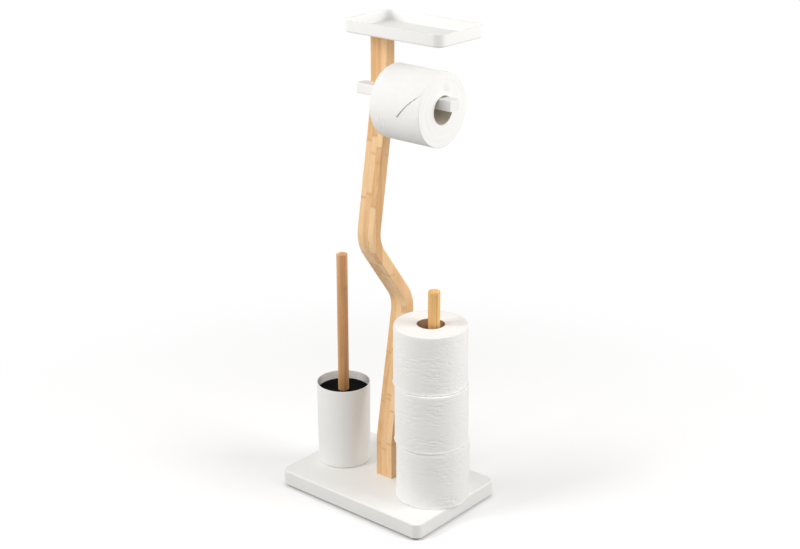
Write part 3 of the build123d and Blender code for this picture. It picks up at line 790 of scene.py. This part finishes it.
def growBristles(sizes):
    tree, has, gives = newGeometryTree("bristleTufts", sizes)
    aim = addNode(tree, "GeometryNodeInputNamedAttribute", {"Name": "aim"}, data_type="FLOAT_VECTOR")
    length = addNode(tree, "GeometryNodeInputNamedAttribute", {"Name": "length"}, data_type="FLOAT")
    roots = addNode(tree, "GeometryNodeMeshToPoints", {"Mesh": has["Geometry"]})
    many = addNode(tree, "GeometryNodeDuplicateElements",
                   {"Geometry": roots.outputs[0], "Amount": has["Bristles per Tuft"]}, domain="POINT")
    draw = {0: (-1, -1, -1), 1: (1, 1, 1), "Seed": has["Seed"]}
    scatter = addNode(tree, "FunctionNodeRandomValue", draw, data_type="FLOAT_VECTOR").outputs[0]
    planted = addNode(tree, "GeometryNodeSetPosition", {
        "Geometry": many.outputs["Geometry"],
        "Offset": vectorMath(tree, "SCALE", scatter, has["Tuft Radius"])})
    line = addNode(tree, "GeometryNodeCurvePrimitiveLine", {"Start": (0, 0, 0), "End": (0, 0, 1)})
    line = addNode(tree, "GeometryNodeResampleCurve", {"Curve": line.outputs[0], "Count": 4})
    place = tree.nodes.new("GeometryNodeInputPosition").outputs[0]
    rise = addNode(tree, "ShaderNodeSeparateXYZ", {0: place}).outputs["Z"]
    lean = doMath(tree, "MULTIPLY", doMath(tree, "POWER", rise, 2.0), has["Bend"])
    shift = addNode(tree, "ShaderNodeCombineXYZ", {"X": doMath(tree, "MULTIPLY", lean, 0.02)})
    line = addNode(tree, "GeometryNodeSetPosition", {"Geometry": line.outputs[0], "Offset": shift.outputs[0]})
    section = addNode(tree, "GeometryNodeCurvePrimitiveCircle", {
        "Resolution": 3, "Radius": has["Bristle Radius"]})
    rod = addNode(tree, "GeometryNodeCurveToMesh", {
        "Curve": line.outputs[0], "Profile Curve": section.outputs[0], "Fill Caps": True})
    # reach runs from 0 at a bristle's root to 1 at its tip; bristleFinish uses it to paint shade at the roots
    # and a lighter tip
    marked = addNode(tree, "GeometryNodeStoreNamedAttribute", {
        "Geometry": rod.outputs[0], "Name": "reach", "Value": rise}, data_type="FLOAT", domain="POINT")
    sway = addNode(tree, "FunctionNodeRandomValue", {0: (-1, -1, -1), 1: (1, 1, 1), "Seed": 7},
                   data_type="FLOAT_VECTOR").outputs[0]
    heading = vectorMath(tree, "ADD", aim.outputs[0], vectorMath(tree, "SCALE", sway, has["Spread"]))
    turned = addNode(tree, "FunctionNodeAlignRotationToVector", {"Vector": heading}, axis="Z")
    growth = addNode(tree, "FunctionNodeRandomValue", {2: 0.93, 3: 1.0, "Seed": 3}, data_type="FLOAT")
    tall = doMath(tree, "MULTIPLY", length.outputs[0], growth.outputs[1])
    scale = addNode(tree, "ShaderNodeCombineXYZ", {"X": 1.0, "Y": 1.0, "Z": tall})
    grown = addNode(tree, "GeometryNodeInstanceOnPoints", {
        "Points": planted.outputs[0], "Instance": marked.outputs[0], "Rotation": turned.outputs[0],
        "Scale": scale.outputs[0]})
    real = addNode(tree, "GeometryNodeRealizeInstances", {"Geometry": grown.outputs[0]})
    dressed = addNode(tree, "GeometryNodeSetMaterial", {
        "Geometry": real.outputs[0], "Material": has["Material"]})
    tree.links.new(dressed.outputs[0], gives["Geometry"])
    return tree


def bakeNodes(piece, tree, sizes):
    modifier = piece.modifiers.new("shape", "NODES")
    modifier.node_group = tree
    for item in tree.interface.items_tree:
        if item.in_out == "INPUT" and item.name in sizes:
            modifier[item.identifier] = sizes[item.name]
    bpy.context.view_layer.update()
    shaped = piece.evaluated_get(bpy.context.evaluated_depsgraph_get())
    mesh = bpy.data.meshes.new_from_object(shaped, preserve_all_data_layers=True,
                                           depsgraph=bpy.context.evaluated_depsgraph_get())
    piece.modifiers.remove(modifier)
    piece.data = mesh
    return piece


tuftSizes = {
    "Bristles per Tuft": brushLook["perTuft"], "Tuft Radius": brushLook["tuftRadius"],
    "Bristle Radius": brushLook["bristleRadius"], "Spread": brushLook["spread"],
    "Bend": brushLook["bend"], "Seed": 4, "Material": finishes["bristleFibre"],
}
tufts = bakeNodes(plantTufts(brushLook), growBristles(tuftSizes), tuftSizes)
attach(tufts, "brush")
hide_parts("bristles")
print("bristles planted", len(tufts.data.polygons))


# Light: a soft lamp on each side of the camera, both above the tray
lamps = {
    "leftLamp": {"spot": (-0.75, -1.29, 1.35), "size": 1.0, "power": 20.0, "tint": (1.0, 0.99, 0.97)},
    "rightLamp": {"spot": (1.39, 0.52, 1.15), "size": 1.0, "power": 17.0, "tint": (1.0, 0.99, 0.975)},
}
lampAim = Vector((0.0, 0.0, 0.35))
for name, lamp in lamps.items():
    data = bpy.data.lights.new(name, "AREA")
    data.size = lamp["size"]
    data.energy = lamp["power"]
    data.color = lamp["tint"]
    light = bpy.data.objects.new(name, data)
    light.location = lamp["spot"]
    light.rotation_euler = (lampAim - Vector(lamp["spot"])).to_track_quat("-Z", "Y").to_euler()
    bpy.context.scene.collection.objects.link(light)

worldLook = {"ambient": 0.47, "shown": 1.0}


def makeWorld(look):
    world = bpy.data.worlds.new("studioWorld")
    world.use_nodes = True
    tree = world.node_tree
    tree.nodes.clear()
    ray = tree.nodes.new("ShaderNodeLightPath").outputs
    seen = doMath(tree, "ADD", ray["Is Camera Ray"], ray["Is Glossy Ray"])
    seen = doMath(tree, "ADD", seen, ray["Is Transmission Ray"], clamp=True)
    strength = mapRange(tree, seen, 0.0, 1.0, look["ambient"], look["shown"])
    back = addNode(tree, "ShaderNodeBackground", {"Color": colour(1, 1, 1), "Strength": strength})
    output = tree.nodes.new("ShaderNodeOutputWorld")
    tree.links.new(back.outputs[0], output.inputs["Surface"])
    bpy.context.scene.world = world


makeWorld(worldLook)

floorLook = {
    "half": 14.0,
    "seen": (0.93, 0.93, 0.928),
    "bounce": (0.46, 0.46, 0.45),  # what the object gets back from it
    "lift": 0.09,
    "fade": (0.3, 0.95),  # metres from the object over which it turns to plain white
}


def makeFloor(look):
    half = look["half"]
    corners = [(-half, -half, 0), (half, -half, 0), (half, half, 0), (-half, half, 0)]
    mesh = bpy.data.meshes.new("floor")
    mesh.from_pydata(corners, [], [(0, 1, 2, 3)])
    material, tree, shader, place = newMaterial("floorPaper")
    ray = tree.nodes.new("ShaderNodeLightPath").outputs
    seen = doMath(tree, "MAXIMUM", ray["Is Camera Ray"], ray["Is Glossy Ray"])
    seen = doMath(tree, "MAXIMUM", seen, ray["Is Transmission Ray"])
    paint = mixColour(tree, seen, colour(*look["bounce"]), colour(*look["seen"]))
    feed(tree, shader, Base_Color=paint, Roughness=0.9, Specular_IOR_Level=0.1)
    feed(tree, shader, Emission_Color=colour(1, 1, 1),
         Emission_Strength=doMath(tree, "MULTIPLY", seen, look["lift"]))
    reach = addNode(tree, "ShaderNodeVectorMath", {0: place}, operation="LENGTH").outputs["Value"]
    far = doMath(tree, "MULTIPLY", mapRange(tree, reach, *look["fade"], 0.0, 1.0, smooth=True), seen)
    white = addNode(tree, "ShaderNodeEmission", {"Color": colour(1, 1, 1), "Strength": 1.0}).outputs[0]
    both = addNode(tree, "ShaderNodeMixShader", {0: far, 1: shader.outputs[0], 2: white}).outputs[0]
    tree.links.new(both, tree.nodes["Material Output"].inputs["Surface"])
    mesh.materials.append(material)
    floor = bpy.data.objects.new("floor", mesh)
    bpy.context.scene.collection.objects.link(floor)


makeFloor(floorLook)
print("studio ready")
